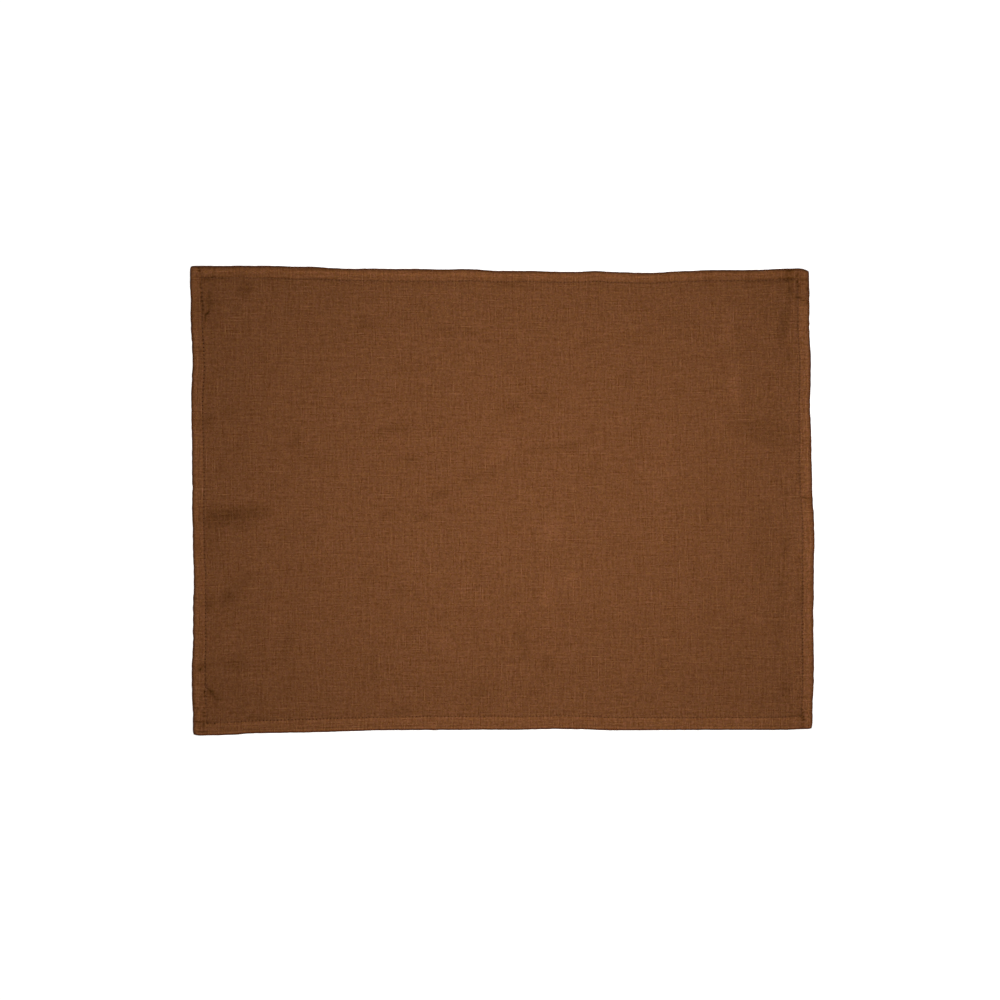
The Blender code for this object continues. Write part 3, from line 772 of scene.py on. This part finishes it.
def cloth_mesh(panel):
    """The middle of the cloth as one open surface: field, upper layer, folds and tucked layer."""
    corners = np.cumsum([0] + [hem_cells(side) for side in SIDES])
    count = int(corners[-1])
    bumps = edge_bumps(panel, corners)
    columns = [[hem_columns(panel, side, line) for side in SIDES] for line in LINES]
    points, values = [], []
    for line, sides in zip(LINES, columns):
        a, b = (np.concatenate([side[axis][:-1] for side in sides]) for axis in (0, 1))
        x, y = panel.wander(a, b)
        for side, start, end in zip(SIDES, corners, corners[1:]):
            _, inwards = panel.along_and_in(side, a[start:end], b[start:end])
            moved = y if side.level == "y" else x
            moved[start:end] += -side.inward * bumps[start:end] * bell(inwards, BUMP_REACH)
        points.append(np.stack([x, y, line_height(panel, line, a, b, corners)], 1))
        values.append(panel.looks(a, b))
    field = field_grid(panel)
    points.append(np.stack([*panel.wander(*field), panel.heights(*field)[0]], 1))
    values.append(panel.looks(*field))

    # the hem: a quad for each step along each side, with its places on the flat cloth and the seam
    faces, cloth_places, sewing_places = [], [], []
    for row, (near, far) in enumerate(zip(columns, columns[1:])):
        for number, (start, end) in enumerate(zip(corners, corners[1:])):
            here = np.arange(start, end)
            after = (here + 1) % count
            quads = row * count + np.stack([here, here + count, after + count, after], 1)
            faces += quads.tolist()
            for places, kind in ((cloth_places, 2), (sewing_places, 3)):
                first, second = near[number][kind], far[number][kind]
                places += [np.stack([first[:-1], second[:-1], second[1:], first[1:]], 1)]

    # three triangles join each cell on the field's border to two columns of the hem
    field_start = len(LINES) * count
    grid = field_start + np.arange(len(field[0])).reshape(SHORT_CELLS + 1, LONG_CELLS + 1)
    border = np.concatenate([grid[0, :-1], grid[:-1, -1], grid[-1, :0:-1], grid[:0:-1, 0]])
    after = np.roll(border, -1)
    first = 2 * np.arange(len(border))
    middle, last = first + 1, (first + 2) % count
    triangles = np.stack([border, first, middle, border, middle, after, after, middle, last], 1)
    cells = np.stack([grid[:-1, :-1], grid[:-1, 1:], grid[1:, 1:], grid[1:, :-1]], 2)
    first_line = np.concatenate([side[2][:-1] for side in columns[0]])
    flat_places = np.concatenate([first_line, np.stack(field, 1)])
    for corners_of_faces in (triangles.reshape(-1, 3), cells.reshape(-1, 4)):
        faces += corners_of_faces.tolist()
        shared = np.where(
            corners_of_faces < count, corners_of_faces, corners_of_faces - field_start + count)
        cloth_places.append(flat_places[shared])
        sewing_places.append(np.full((*shared.shape, 2), (0.0, FAR_FROM_SEAM)))

    points = np.concatenate(points)
    points[:, :2] -= panel.middle
    mesh = bpy.data.meshes.new("linen_panel")
    mesh.from_pydata((points * MM).tolist(), [], faces)
    for name, places in (("cloth", cloth_places), ("sewing", sewing_places)):
        mesh.uv_layers.new(name=name).uv.foreach_set(
            "vector", np.concatenate([part.ravel() for part in places]))
    for name, parts in zip(POINT_VALUES, zip(*values)):
        mesh.attributes.new(name, "FLOAT", "POINT").data.foreach_set("value", np.concatenate(parts))
    mesh.shade_smooth()
    return mesh


# --- materials ---------------------------------------------------------------------------------

MATH = "ShaderNodeMath"
VECTOR = "ShaderNodeVectorMath"
COMBINE = "ShaderNodeCombineXYZ"
SEPARATE = "ShaderNodeSeparateXYZ"
NOISE = "ShaderNodeTexNoise"
MIX = "ShaderNodeMix"


def add_node(tree, kind, inputs=(), **settings):
    """Add a node with its settings, and its inputs by name or in order.

    An input is a value, a socket to link from, or a node, which stands for its first output.
    """
    node = tree.nodes.new(kind)
    for name, value in settings.items():
        setattr(node, name, value)
    named = inputs if isinstance(inputs, dict) else dict(enumerate(inputs))
    for name, value in named.items():
        if isinstance(value, bpy.types.Node):
            value = value.outputs[0]
        if isinstance(value, bpy.types.NodeSocket):
            tree.links.new(value, node.inputs[name])
        else:
            node.inputs[name].default_value = value
    return node


def start_material(name):
    """An empty material, and the function that adds a node to it."""
    material = bpy.data.materials.new(name)
    material.use_nodes = True
    material.node_tree.nodes.clear()
    return material, partial(add_node, material.node_tree)


def linen_material(settings):
    """Plain-woven, piece-dyed linen.

    Flax yarn is thick and thin along its length and takes the dye unevenly, so the cloth is a fine
    crosshatch of paler and deeper lengths, with no gloss. Painted shade darkens the cloth between the
    yarns, in the creases, in the needle holes and along the fold at the outline; painted light
    brightens the ridges and parts of the hem.
    """
    material, add = start_material("plain-woven linen")
    given = {name: add("ShaderNodeAttribute", attribute_name=name).outputs["Fac"]
             for name in POINT_VALUES}
    flat = add("ShaderNodeUVMap", uv_map="cloth")

    # the yarns run a little crooked
    bends = add(NOISE, {"Vector": flat, "Scale": 0.28, "Detail": 1.0, "Roughness": 0.6},
                noise_dimensions="3D")
    crooked = add(VECTOR, (bends.outputs["Color"], (CROOKED, CROOKED, 0.0), flat),
                  operation="MULTIPLY_ADD")
    cloth = add(SEPARATE, (crooked,))
    across, up = cloth.outputs["X"], cloth.outputs["Y"]

    # which yarn is on top: the cells of the weave alternate, warp and weft
    warp = add(MATH, (across, YARN_PITCH), operation="DIVIDE")
    weft = add(MATH, (up, YARN_PITCH), operation="DIVIDE")
    warp_number = add(MATH, (warp,), operation="FLOOR")
    weft_number = add(MATH, (weft,), operation="FLOOR")
    cell = add(MATH, (warp_number, weft_number), operation="ADD")
    weft_on_top = add(MATH, (cell, 1.0), operation="PINGPONG")

    def on_top(warp_value, weft_value):
        """What the yarn on top has."""
        return add(MIX, {0: weft_on_top, 2: warp_value, 3: weft_value}, data_type="FLOAT")

    def change(place, scale, detail):
        """Soft random change round 0, in features of about 1 / scale."""
        cloud = add(NOISE, {"Vector": place, "Scale": scale, "Detail": detail, "Roughness": 0.6},
                    noise_dimensions="3D")
        return add(MATH, (cloud, 0.5), operation="SUBTRACT")

    def yarn_tone(number, along, layer):
        """Each yarn's own tone, which drifts along it; beside a pale, thick one it is deeper."""
        drift = add(MATH, (along, YARN_DRIFT), operation="MULTIPLY")
        here, beside = [
            change(add(COMBINE, (
                add(MATH, (number, YARNS_APART, YARNS_APART * step), operation="MULTIPLY_ADD"),
                drift, layer)), 1.0, 1.5)
            for step in (0, 1)]
        return add(MATH, (beside, -0.6, here), operation="MULTIPLY_ADD")

    def bow(number):
        """A yarn's roundness, from 0 at its sides to 1 in its middle."""
        part = add(MATH, (number,), operation="FRACT")
        rest = add(MATH, (1.0, part), operation="SUBTRACT")
        product = add(MATH, (part, rest), operation="MULTIPLY")
        return add(MATH, (product, 4.0), operation="MULTIPLY")

    warp_tone, weft_tone = yarn_tone(warp_number, up, 3.0), yarn_tone(weft_number, across, 47.0)
    both = add(MATH, (warp_tone, weft_tone), operation="ADD")
    thick_warp, thick_weft = [
        add(MATH, (add(MATH, (tone, SLUBS_FROM), operation="SUBTRACT"), 0.0), operation="MAXIMUM")
        for tone in (warp_tone, weft_tone)]
    slubs = add(MATH, (thick_warp, thick_weft), operation="ADD")

    # each yarn is round across, and arched along where it is on top
    round_warp, round_weft = bow(warp), bow(weft)
    warp_arch = add(MATH, (round_weft, 0.6, 0.4), operation="MULTIPLY_ADD")
    weft_arch = add(MATH, (round_warp, 0.6, 0.4), operation="MULTIPLY_ADD")
    weave = on_top(add(MATH, (round_warp, warp_arch), operation="MULTIPLY"),
                   add(MATH, (round_weft, weft_arch), operation="MULTIPLY"))

    # fibres along the yarn, one tone for each place where yarns cross, and dye that took unevenly
    warp_fibres = add(COMBINE, (add(MATH, (across, FIBRE_STRETCH), operation="MULTIPLY"), up))
    weft_fibres = add(COMBINE, (across, add(MATH, (up, FIBRE_STRETCH), operation="MULTIPLY"), 9.0))
    fibres = on_top(change(warp_fibres, 1.3, 1.0), change(weft_fibres, 1.3, 1.0))
    crossing = add("ShaderNodeTexWhiteNoise", {"Vector": add(COMBINE, (warp_number, weft_number))},
                   noise_dimensions="2D")
    crossing_tone = add(MATH, (crossing.outputs["Value"], 0.5), operation="SUBTRACT")
    dye = change(flat, 0.07, 2.0)
    paleness = 0.5
    for tone, strength in (
            (both, 0.76), (slubs, 3.0), (crossing_tone, 0.42), (fibres, 1.2), (dye, 0.12)):
        paleness = add(MATH, (tone, strength, paleness), operation="MULTIPLY_ADD")
    dyed = add(MIX, {0: paleness, 6: (*settings.deep, 1.0), 7: (*settings.pale, 1.0)},
               data_type="RGBA", clamp_factor=True)
    hue = add(VECTOR, (crossing.outputs["Color"], (0.10, 0.09, 0.40), (0.95, 0.955, 0.80)),
              operation="MULTIPLY_ADD")
    yarns = add(VECTOR, (dyed.outputs[2], hue), operation="MULTIPLY")
    # painted shade between the yarns: darker where each yarn dips at its sides and ends
    yarn_gap_shade = add(MATH, (weave, 0.40, 0.79), operation="MULTIPLY_ADD")

    # painted shade in the needle holes and in a thin line along the stitching's groove
    sewing = add(SEPARATE, (add("ShaderNodeUVMap", uv_map="sewing"),))
    past_squared = add(MATH, (sewing.outputs["Y"], sewing.outputs["Y"]), operation="MULTIPLY")
    to_hole = add(MATH, (
        add(MATH, (sewing.outputs["X"], 0.5), operation="PINGPONG"), BOTTOM.pitch),
        operation="MULTIPLY")
    away_squared = add(MATH, (
        past_squared, add(MATH, (to_hole, to_hole), operation="MULTIPLY")), operation="ADD")
    hole, line = [
        add(MATH, (add(MATH, (squared, fall), operation="MULTIPLY"),), operation="EXPONENT")
        for squared, fall in ((away_squared, -2.4), (past_squared, -5.0))]
    hole_and_line_shade = add(MATH, (
        hole, given["holes"], add(MATH, (line, SEAM_LINE), operation="MULTIPLY")),
        operation="MULTIPLY_ADD")

    # the sharp marks: each is a cone of painted shade in the cloth's own places
    mark_shade = 0.0
    panel = Panel(settings)
    for mark in SHADE_MARKS:
        a, b = panel.nominal(np.array([mark.x]), np.array([mark.y]))
        on_mark = add("ShaderNodeMapping", {
            "Vector": flat, "Location": (a[0], b[0], 0.0),
            "Rotation": (0.0, 0.0, math.radians(mark.turn)),
            "Scale": (mark.half_length, mark.half_width, 1.0)}, vector_type="TEXTURE")
        cone = add("ShaderNodeTexGradient", (on_mark,), gradient_type="SPHERICAL")
        mark_shade = add(MATH, (cone.outputs["Fac"], mark.tone, mark_shade), operation="MULTIPLY_ADD")
    after_mark_shade = add(MATH, (add(MATH, (mark_shade, 1.0), operation="ADD"), DARKEST), operation="MAXIMUM")
    whole = add(MATH, (1.0, hole_and_line_shade), operation="SUBTRACT")
    shade = add(MATH, (
        whole, add(MATH, (given["tone"], after_mark_shade), operation="MULTIPLY")), operation="MULTIPLY")

    # the hem, whose three layers are paler than the field, with painted shade at the outline's fold
    # and a painted highlight past the seam; then the fold at the outline, painted in the deep edge
    # colour as painted shade
    part = add(MATH, (add(MATH, (given["hem"], HEM_SPAN), operation="DIVIDE"), 1.0),
               operation="MINIMUM")

    def profile(rows):
        """Lightness across the hem, through a table of places and tones."""
        curve = add("ShaderNodeFloatCurve", {"Value": part})
        points = curve.mapping.curves[0].points
        for number, (place, tone) in enumerate(rows):
            if number < 2:
                points[number].location = place / HEM_SPAN, tone / 2
            else:
                points.new(place / HEM_SPAN, tone / 2)
        curve.mapping.update()
        return add(MATH, (curve, 2.0), operation="MULTIPLY")

    hem = add(MIX, {0: given["lower_side"], 2: profile(HEM_TONES), 3: profile(LOWER_HEM_TONES)},
              data_type="FLOAT")

    # light that is caught in a fold or hole comes back from dyed yarn only: deep, and less blue
    caught = add(VECTOR, (add(COMBINE, (shade, shade, shade)), (0.95, 1.03, 1.45),
                          (0.05, -0.03, -0.45)), operation="MULTIPLY_ADD")
    caught = add(VECTOR, (caught, (0.0, 0.0, 0.0)), operation="MAXIMUM")
    deepened = add(VECTOR, (yarns, caught), operation="MULTIPLY")
    shaded = add(VECTOR, {
        0: deepened, "Scale": add(MATH, (yarn_gap_shade, hem), operation="MULTIPLY")}, operation="SCALE")
    # painted shade along the fold at the outline: there the colour turns to the deep edge colour,
    # scaled by the weave
    fold = add("ShaderNodeMapRange", {
        "Value": given["hem"], "From Min": 0.16, "From Max": 0.06, "To Min": 0.0, "To Max": 0.9},
        clamp=True)
    wear_and_edge_shade = add(MATH, (
        add(MATH, (yarn_gap_shade, given["tone"]), operation="MULTIPLY"),
        add(MATH, (paleness, 0.5, 0.62), operation="MULTIPLY_ADD")), operation="MULTIPLY")
    shaded_edge_colour = add(VECTOR, {0: tuple(settings.edge), "Scale": wear_and_edge_shade}, operation="SCALE")
    colour = add(MIX, {0: fold, 6: shaded, 7: shaded_edge_colour}, data_type="RGBA").outputs[2]

    # relief of the weave, its slubs and fibres, and the needle holes, in millimetres
    height = 0.0
    for form, strength in ((weave, 0.14), (slubs, 0.5), (fibres, 0.10), (hole, -0.25)):
        height = add(MATH, (form, strength, height), operation="MULTIPLY_ADD")
    bump = add("ShaderNodeBump", {"Strength": 1.0, "Distance": MM, "Height": height})
    roughness = add(MATH, (weave, -0.10, 0.95), operation="MULTIPLY_ADD")
    shader = add("ShaderNodeBsdfPrincipled", {
        "Base Color": colour, "Roughness": roughness, "Normal": bump, "IOR": 1.5,
        "Specular IOR Level": 0.08, "Sheen Weight": 0.03, "Sheen Roughness": 0.5})
    add("ShaderNodeOutputMaterial", (shader,))
    return material


def thread_material(settings):
    """Spun polyester sewing thread, dyed to match: a little deeper than the cloth, softly matt."""
    material, add = start_material("spun polyester thread")
    place = add("ShaderNodeTexCoord").outputs["Object"]
    fibres = add(NOISE, {"Vector": place, "Scale": 3500.0, "Detail": 2.0, "Roughness": 0.6},
                 noise_dimensions="3D")
    stitch_tone = add("ShaderNodeAttribute", attribute_name="stitch_tone").outputs["Fac"]
    amount = add(MATH, (fibres, 0.5, stitch_tone), operation="MULTIPLY_ADD")
    colour = add(VECTOR, {0: tuple(settings.colour), "Scale": amount}, operation="SCALE")
    bump = add("ShaderNodeBump", {"Strength": 0.6, "Distance": 0.05 * MM, "Height": fibres})
    shader = add("ShaderNodeBsdfPrincipled", {
        "Base Color": colour, "Roughness": 0.7, "IOR": 1.5, "Normal": bump,
        "Specular IOR Level": 0.20})
    add("ShaderNodeOutputMaterial", (shader,))
    return material


def floor_material(settings):
    """Matt painted studio floor, lit until it looks white."""
    material, add = start_material("matt painted floor")
    place = add("ShaderNodeTexCoord").outputs["Object"]
    wear_and_edge_shade = add(NOISE, {"Vector": place, "Scale": 6.0, "Detail": 3.0}, noise_dimensions="3D")
    roughness = add(MATH, (wear_and_edge_shade, 0.08, 0.86), operation="MULTIPLY_ADD")
    shader = add("ShaderNodeBsdfPrincipled", {
        "Base Color": (*settings.floor, 1.0), "Roughness": roughness, "Specular IOR Level": 0.2,
        "Emission Color": (*settings.floor, 1.0), "Emission Strength": 0.85})
    add("ShaderNodeOutputMaterial", (shader,))
    return material


# --- stitches ----------------------------------------------------------------------------------


def seam_mesh(panel):
    """The middles of all stitches as lines of points, above the cloth and below it."""
    points, edges, lengths, under = [], [], [], []
    runs = [(side, panel.seam_ends(side), 0.0) for side in SIDES]
    for side, ends, shift in runs + BACK_STITCHES:
        fine = np.linspace(*ends, SEAM_POINTS)
        numbers = panel.stitch_number(side, fine)
        count = int(numbers[-1] - math.ceil(numbers[0]))
        along = np.interp(math.ceil(numbers[0]) + np.arange(count) + 0.5, numbers, fine)
        a, b = panel.place(side, along, curve_through(side.seam, along) + shift)
        x, y = panel.wander(a, b)
        upper, lower, _ = panel.heights(a, b)
        faces = (
            (upper + panel.thickness / 2, 0.0),
            (lower + SEAM_UNDER - panel.thickness / 2, 1.0),
        )
        for height, turned in faces:
            start = len(points)
            points += list(zip(x - panel.middle[0], y - panel.middle[1], height))
            edges += [(at, at + 1) for at in range(start, start + count - 1)]
            lengths += list(np.gradient(along) * MM)
            under += [turned] * count
    mesh = bpy.data.meshes.new("seams")
    mesh.from_pydata((np.array(points) * MM).tolist(), edges, [])
    for name, values in (("stitch_length", lengths), ("under", under)):
        mesh.attributes.new(name, "FLOAT", "POINT").data.foreach_set("value", values)
    return mesh


def stitch_tree():
    """Geometry Nodes: one stitch of thread on each point of the seams, from hole to hole."""
    tree = bpy.data.node_groups.new("stitches on a seam", "GeometryNodeTree")
    sockets = (
        ("Seams", "NodeSocketGeometry", None), ("Thread diameter", "NodeSocketFloat", 0.42 * MM),
        ("Share of the pitch", "NodeSocketFloat", 0.9), ("Rise", "NodeSocketFloat", 0.14 * MM),
        ("Dip", "NodeSocketFloat", 0.35 * MM), ("Slack", "NodeSocketFloat", 0.08),
        ("Seed", "NodeSocketInt", 0), ("Thread", "NodeSocketMaterial", None),
    )
    for name, kind, value in sockets:
        made = tree.interface.new_socket(name=name, in_out="INPUT", socket_type=kind)
        if value is not None:
            made.default_value = value
    tree.interface.new_socket(name="Stitches", in_out="OUTPUT", socket_type="NodeSocketGeometry")
    add = partial(add_node, tree)
    given = add("NodeGroupInput").outputs

    # one stitch, a metre long before it is scaled: level in the middle, diving at both ends
    bare = add("GeometryNodeCurvePrimitiveLine", {"Start": (-0.5, 0, 0), "End": (0.5, 0, 0)})
    points = add("GeometryNodeResampleCurve", {"Curve": bare, "Count": 7}, mode="COUNT")
    x = add(SEPARATE, (add("GeometryNodeInputPosition"),)).outputs["X"]
    share = add(MATH, (add(MATH, (x, 2.0), operation="MULTIPLY"),), operation="ABSOLUTE")
    to_end = add(MATH, (share, 4.0), operation="POWER")
    depth = add(MATH, (given["Rise"], given["Dip"]), operation="ADD")
    drop = add(MATH, (to_end, depth), operation="MULTIPLY")
    offset = add(COMBINE, {"Z": add(MATH, (given["Rise"], drop), operation="SUBTRACT")})
    arched = add("GeometryNodeSetPosition", {"Geometry": points, "Offset": offset})
    drawn = add("GeometryNodeSetCurveRadius", {
        "Curve": arched, "Radius": add(MATH, (to_end, -0.35, 1.0), operation="MULTIPLY_ADD")})
    radius = add(MATH, (given["Thread diameter"], 0.5), operation="MULTIPLY")
    section = add("GeometryNodeCurvePrimitiveCircle", {"Resolution": 6, "Radius": radius},
                  mode="RADIUS")
    tube = add("GeometryNodeCurveToMesh", {
        "Curve": drawn, "Profile Curve": section, "Fill Caps": True})
    stitch = add("GeometryNodeSetShadeSmooth", {"Geometry": tube})

    # its place, direction and length
    lines = add("GeometryNodeMeshToCurve", {"Mesh": given["Seams"]})
    spots = add("GeometryNodeCurveToPoints", {"Curve": lines}, mode="EVALUATED")
    length, under = [
        add("GeometryNodeInputNamedAttribute", {"Name": name}, data_type="FLOAT")
        for name in ("stitch_length", "under")]

    def chance(low, high, step):
        """A random value for each stitch; step makes it another one."""
        seed = add(MATH, (given["Seed"], step), operation="ADD")
        return add("FunctionNodeRandomValue", {2: low, 3: high, "Seed": seed},
                   data_type="FLOAT").outputs[1]

    direction = add("FunctionNodeAlignRotationToVector", {"Vector": spots.outputs["Tangent"]},
                    axis="X")
    other_way = add(MATH, (given["Slack"], -1.0), operation="MULTIPLY")
    turned = add(COMBINE, {
        "X": add(MATH, (under, math.pi), operation="MULTIPLY"),
        "Z": chance(other_way, given["Slack"], 0)})
    rotation = add("FunctionNodeRotateRotation", {
        "Rotation": direction, "Rotate By": add("FunctionNodeEulerToRotation", (turned,))},
        rotation_space="LOCAL")
    thick = chance(0.88, 1.12, 1)
    share = add(MATH, (given["Share of the pitch"], chance(0.95, 1.04, 2)), operation="MULTIPLY")
    scale = add(COMBINE, {
        "X": add(MATH, (length, share), operation="MULTIPLY"), "Y": thick,
        "Z": chance(0.85, 1.2, 3)})
    placed = add("GeometryNodeInstanceOnPoints", {
        "Points": spots.outputs["Points"], "Instance": stitch, "Rotation": rotation,
        "Scale": scale})
    toned = add("GeometryNodeStoreNamedAttribute", {
        "Geometry": placed, "Name": "stitch_tone", "Value": chance(0.80, 1.08, 4)},
        data_type="FLOAT", domain="INSTANCE")
    real = add("GeometryNodeRealizeInstances", {"Geometry": toned})
    finished = add("GeometryNodeSetMaterial", {"Geometry": real, "Material": given["Thread"]})
    add("NodeGroupOutput", (finished,))
    return tree


def plain_mesh(thing, name):
    """Turn what an object's modifiers make into its own plain mesh, and remove the modifiers."""
    graph = bpy.context.evaluated_depsgraph_get()
    mesh = bpy.data.meshes.new_from_object(
        thing.evaluated_get(graph), preserve_all_data_layers=True, depsgraph=graph)
    thing.modifiers.clear()
    thing.data = mesh
    mesh.name = name


# --- operators ---------------------------------------------------------------------------------

FLOOR = 6.0                     # half the floor's side
BELOW = -0.2 * MM               # height of the floor
WALL = 5.5                      # radius of the backdrop
WALL_HEIGHT = 5.0
LAMP_SIZE = 0.30
LAMP_PLACE = (0.035, 0.009)     # beside the middle, as the light falls in the photo
CAMERA_PLACE = (-0.0017, 0.0005)   # over the middle of the photo


class PLACEMAT_OT_panel(bpy.types.Operator):
    """Fold, hem and lay the linen panel"""

    bl_idname = "placemat.panel"
    bl_label = "Linen panel"

    def execute(self, context):
        """Make the panel in place of its solid."""
        settings = context.scene.placemat_cloth
        thing = bpy.data.objects.new("linen_panel", cloth_mesh(Panel(settings)))
        context.scene.collection.objects.link(thing)
        thing.data.materials.append(linen_material(settings))
        wall = thing.modifiers.new("thickness of the cloth", "SOLIDIFY")
        wall.thickness = settings.thickness
        wall.offset = 0.0
        plain_mesh(thing, "linen_panel")
        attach(thing, "root")
        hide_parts("placemat")
        return {"FINISHED"}


class PLACEMAT_OT_stitches(bpy.types.Operator):
    """Sew the hem: a straight lockstitch along each side, seen from above and below"""

    bl_idname = "placemat.stitches"
    bl_label = "Stitches"

    def execute(self, context):
        """Make the stitches of both threads with Geometry Nodes."""
        settings = context.scene.placemat_thread
        panel = Panel(context.scene.placemat_cloth)
        thing = bpy.data.objects.new("hem_stitches", seam_mesh(panel))
        context.scene.collection.objects.link(thing)
        tree = stitch_tree()
        values = {
            "Thread diameter": settings.diameter, "Slack": settings.slack,
            "Seed": settings.seed, "Thread": thread_material(settings),
        }
        modifier = thing.modifiers.new("stitches", "NODES")
        modifier.node_group = tree
        for item in tree.interface.items_tree:
            if item.in_out == "INPUT" and item.name in values:
                modifier[item.identifier] = values[item.name]
        plain_mesh(thing, "hem_stitches")
        if not thing.data.polygons:
            raise RuntimeError("the stitches came out empty")
        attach(thing, "root")
        return {"FINISHED"}


class PLACEMAT_OT_studio(bpy.types.Operator):
    """Set the pale floor, the soft light and the camera straight above"""

    bl_idname = "placemat.studio"
    bl_label = "Studio"

    def execute(self, context):
        """Make the floor, the lights and the camera."""
        settings = context.scene.placemat_studio
        scene = context.scene
        mesh = bpy.data.meshes.new("floor")
        mesh.from_pydata(
            [(x * FLOOR, y * FLOOR, BELOW) for x, y in ((-1, -1), (1, -1), (1, 1), (-1, 1))],
            [], [(0, 1, 2, 3)])
        mesh.materials.append(floor_material(settings))
        floor = bpy.data.objects.new("floor", mesh)
        scene.collection.objects.link(floor)

        # a round wall, which the camera sees from low down and which lights nothing
        count = 96
        turns = [math.tau * at / count for at in range(count)]
        mesh = bpy.data.meshes.new("backdrop")
        mesh.from_pydata(
            [(WALL * math.cos(turn), WALL * math.sin(turn), z)
             for z in (BELOW, WALL_HEIGHT) for turn in turns], [],
            [(at, at + count, (at + 1) % count + count, (at + 1) % count)
             for at in range(count)])
        mesh.materials.append(floor.data.materials[0])
        backdrop = bpy.data.objects.new("backdrop", mesh)
        backdrop.visible_diffuse = backdrop.visible_glossy = backdrop.visible_shadow = False
        scene.collection.objects.link(backdrop)

        lamp = bpy.data.lights.new("soft light", "AREA")
        lamp.shape = "DISK"
        lamp.size = LAMP_SIZE
        lamp.energy = settings.light_power
        light = bpy.data.objects.new("soft light", lamp)
        light.location = (*LAMP_PLACE, settings.light_height)
        light.visible_camera = False
        scene.collection.objects.link(light)

        world = bpy.data.worlds.new("even studio light")
        world.use_nodes = True
        background = world.node_tree.nodes["Background"]
        background.inputs["Color"].default_value = (1.0, 1.0, 1.0, 1.0)
        background.inputs["Strength"].default_value = settings.fill
        scene.world = world

        lens = bpy.data.cameras.new("camera")
        lens.lens = 100
        lens.sensor_width = 36
        camera = bpy.data.objects.new("camera", lens)
        camera.location = (*CAMERA_PLACE, settings.camera_height)
        scene.collection.objects.link(camera)
        scene.camera = camera
        scene.view_settings.view_transform = "Standard"
        return {"FINISHED"}


class PLACEMAT_PT_pieces(bpy.types.Panel):
    """Lists the placemat's pieces and the studio, with their settings."""

    bl_idname = "PLACEMAT_PT_pieces"
    bl_label = "Fabric placemat"
    bl_space_type = "VIEW_3D"
    bl_region_type = "UI"
    bl_category = "Placemat"

    def draw(self, context):
        """Show each operator above its settings."""
        groups = (
            (PLACEMAT_OT_panel, context.scene.placemat_cloth),
            (PLACEMAT_OT_stitches, context.scene.placemat_thread),
            (PLACEMAT_OT_studio, context.scene.placemat_studio),
        )
        for operator, settings in groups:
            box = self.layout.box()
            box.operator(operator.bl_idname)
            for name in settings.__annotations__:
                box.prop(settings, name)


CLASSES = (
    ClothSettings, ThreadSettings, StudioSettings, PLACEMAT_OT_panel, PLACEMAT_OT_stitches,
    PLACEMAT_OT_studio, PLACEMAT_PT_pieces,
)


def register():
    """Register the classes and their settings."""
    for made in CLASSES:
        bpy.utils.register_class(made)
    bpy.types.Scene.placemat_cloth = PointerProperty(type=ClothSettings)
    bpy.types.Scene.placemat_thread = PointerProperty(type=ThreadSettings)
    bpy.types.Scene.placemat_studio = PointerProperty(type=StudioSettings)


def unregister():
    """Take them away again."""
    del bpy.types.Scene.placemat_studio
    del bpy.types.Scene.placemat_thread
    del bpy.types.Scene.placemat_cloth
    for made in reversed(CLASSES):
        bpy.utils.unregister_class(made)


def main():
    """Make the placemat and its studio."""
    register()
    bpy.ops.placemat.studio()
    bpy.ops.placemat.panel()
    bpy.ops.placemat.stitches()


if __name__ == "__main__":
    main()
